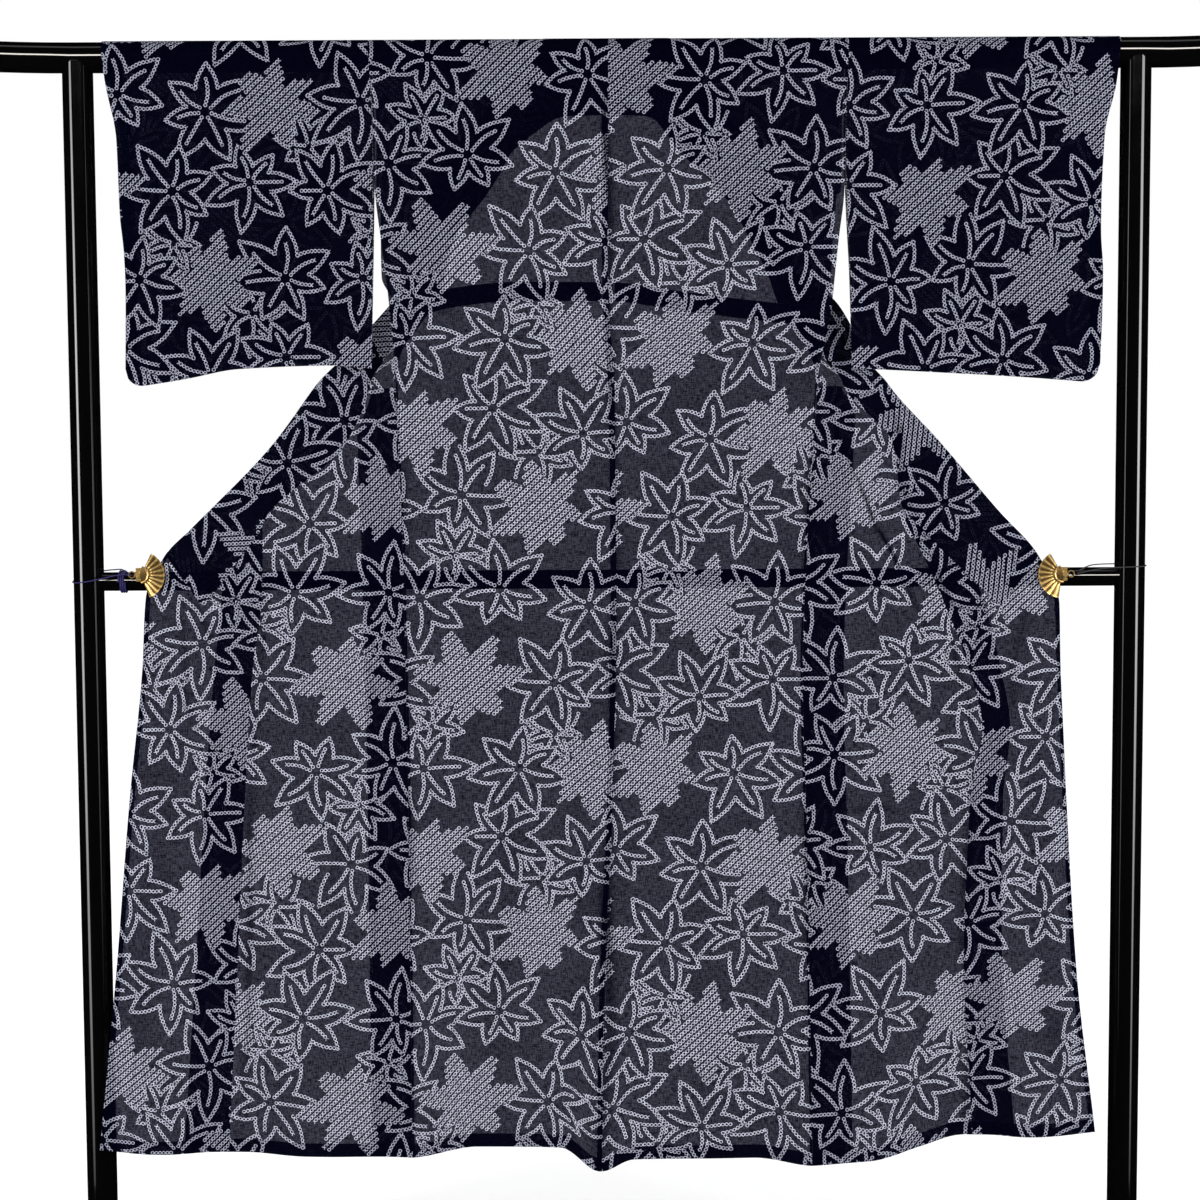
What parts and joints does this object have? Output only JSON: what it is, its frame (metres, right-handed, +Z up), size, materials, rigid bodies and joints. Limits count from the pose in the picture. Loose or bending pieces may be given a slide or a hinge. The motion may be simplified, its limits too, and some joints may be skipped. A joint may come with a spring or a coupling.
{
  "type": "cotton yukata robe draped on a kimono stand",
  "caption": "Unlined cotton yukata hung by its shoulders over the top rod of a black kimono stand, back outwards, fronts opened out and held by two fan clips.",
  "frame": {"origin": "on the floor, at the middle of the stand's bounding box", "axes": "+Z up, X along the top rod, the back of the robe faces -Y"},
  "size_m": [1.7426, 0.5, 1.686],
  "materials": {
    "navy_cotton": "sheer slubbed cotton, navy with a pale dotted leaf pattern",
    "black_lacquer": "gloss black",
    "gold_metal": "polished, pleated",
    "purple_elastic": "thin covered elastic cord",
    "black_elastic": "thin covered elastic cord"
  },
  "bodies": {
    "root": {"back_left": "navy_cotton", "back_right": "navy_cotton", "front_left": "navy_cotton", "front_right": "navy_cotton", "okumi_left": "navy_cotton", "okumi_right": "navy_cotton", "collar": "navy_cotton", "sleeve_left_near": "navy_cotton", "sleeve_left_far": "navy_cotton", "sleeve_right_near": "navy_cotton", "sleeve_right_far": "navy_cotton", "tuck_left": "navy_cotton", "tuck_right": "navy_cotton", "rod_top": "black_lacquer", "crossbar": "black_lacquer", "upright_left": "black_lacquer", "upright_right": "black_lacquer", "foot_left": "black_lacquer", "foot_right": "black_lacquer", "clip_left": "gold_metal", "clip_left_disc": "gold_metal", "clip_left_hinge": "gold_metal", "clip_left_jaw": "gold_metal", "clip_left_ring": "gold_metal", "clip_right": "gold_metal", "clip_right_disc": "gold_metal", "clip_right_hinge": "gold_metal", "clip_right_jaw": "gold_metal", "clip_right_ring": "gold_metal", "cord_left": "purple_elastic", "cord_left_wrap": "purple_elastic", "cord_right": "black_elastic"}
  },
  "joints": []
}
